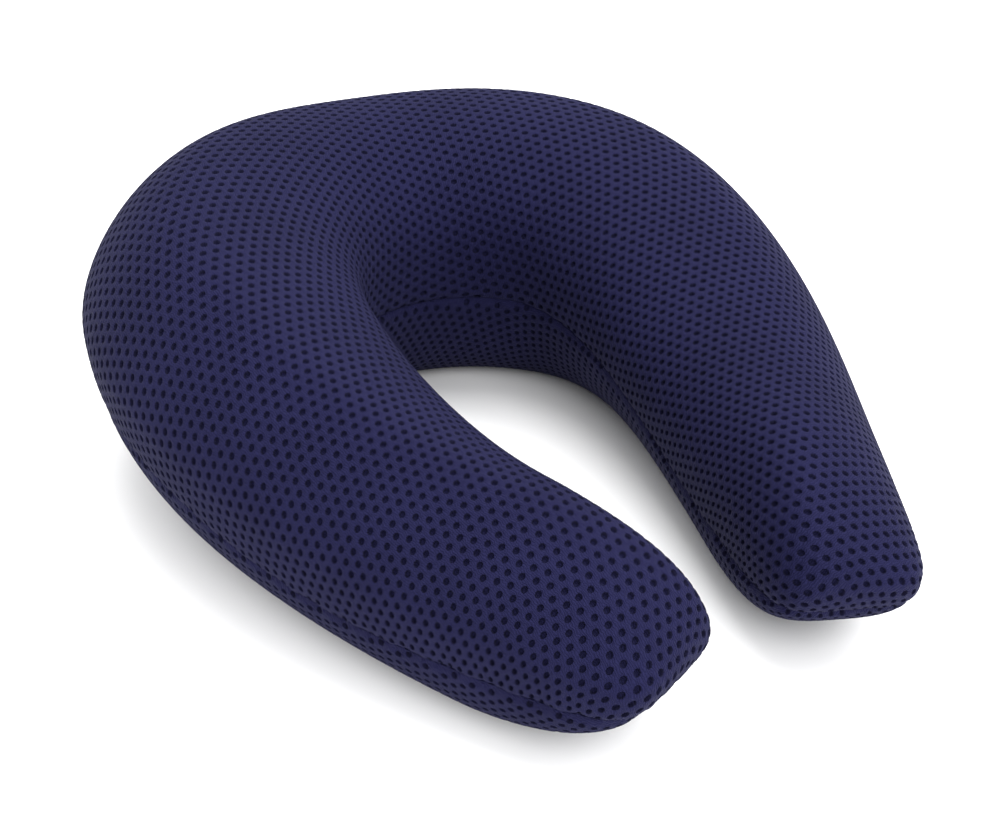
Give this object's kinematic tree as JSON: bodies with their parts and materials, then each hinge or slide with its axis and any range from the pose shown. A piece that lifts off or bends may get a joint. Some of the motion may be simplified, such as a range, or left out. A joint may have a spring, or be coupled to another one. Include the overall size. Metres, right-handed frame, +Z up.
{
  "type": "u shaped neck pillow",
  "caption": "U shaped travel neck pillow with a raised back, a foam core, a knitted liner and a navy spacer mesh cover that unzips along the back.",
  "frame": {"origin": "on the floor in the middle of the neck opening, under the point the back curves round", "axes": "+Z up from the floor, +Y towards the raised back, arms reach towards -Y, +X to the wearer's right as they face -Y"},
  "size_m": [0.2817, 0.3331, 0.127],
  "materials": {
    "foam": "matte open-cell foam",
    "liner_knit": "fine matte knit",
    "liner_thread": "matte thread",
    "cover_mesh": "spacer mesh with small oval holes",
    "cover_thread": "thread with a slight sheen",
    "zip_tape": "woven herringbone tape",
    "zip_coil": "satin nylon coil",
    "zip_metal": "satin enamel"
  },
  "bodies": {
    "pillow": {"foam_core": "foam", "liner_top_panel": "liner_knit", "liner_bottom_panel": "liner_knit", "liner_seam_thread": "liner_thread", "cover_top_panel": "cover_mesh", "cover_bottom_panel": "cover_mesh", "cover_seam_thread": "cover_thread", "zip_tape_upper": "zip_tape", "zip_tape_lower": "zip_tape", "zip_teeth_upper": "zip_coil", "zip_teeth_lower": "zip_coil", "zip_stitching_upper": "cover_thread", "zip_stitching_lower": "cover_thread", "zip_top_stops": "zip_metal", "zip_bottom_stop": "zip_metal", "zip_end_tacks": "cover_thread"},
    "zip_slider": {"zip_slider_body": "zip_metal"},
    "pull_tab": {"zip_pull_tab": "zip_metal"}
  },
  "joints": [
    {"name": "zip_slider_travel", "type": "hinge", "parent": "pillow", "child": "zip_slider", "pos_m": [0, 0, 0.052], "axis": [0, 0, 1], "range_deg": [0, 80]},
    {"name": "pull_tab_swing", "type": "hinge", "parent": "zip_slider", "child": "pull_tab", "pos_m": [0.09427, 0.11235, 0.05141], "axis": [-0.1576, -0.1878, -0.9695], "range_deg": [0, 170]}
  ]
}
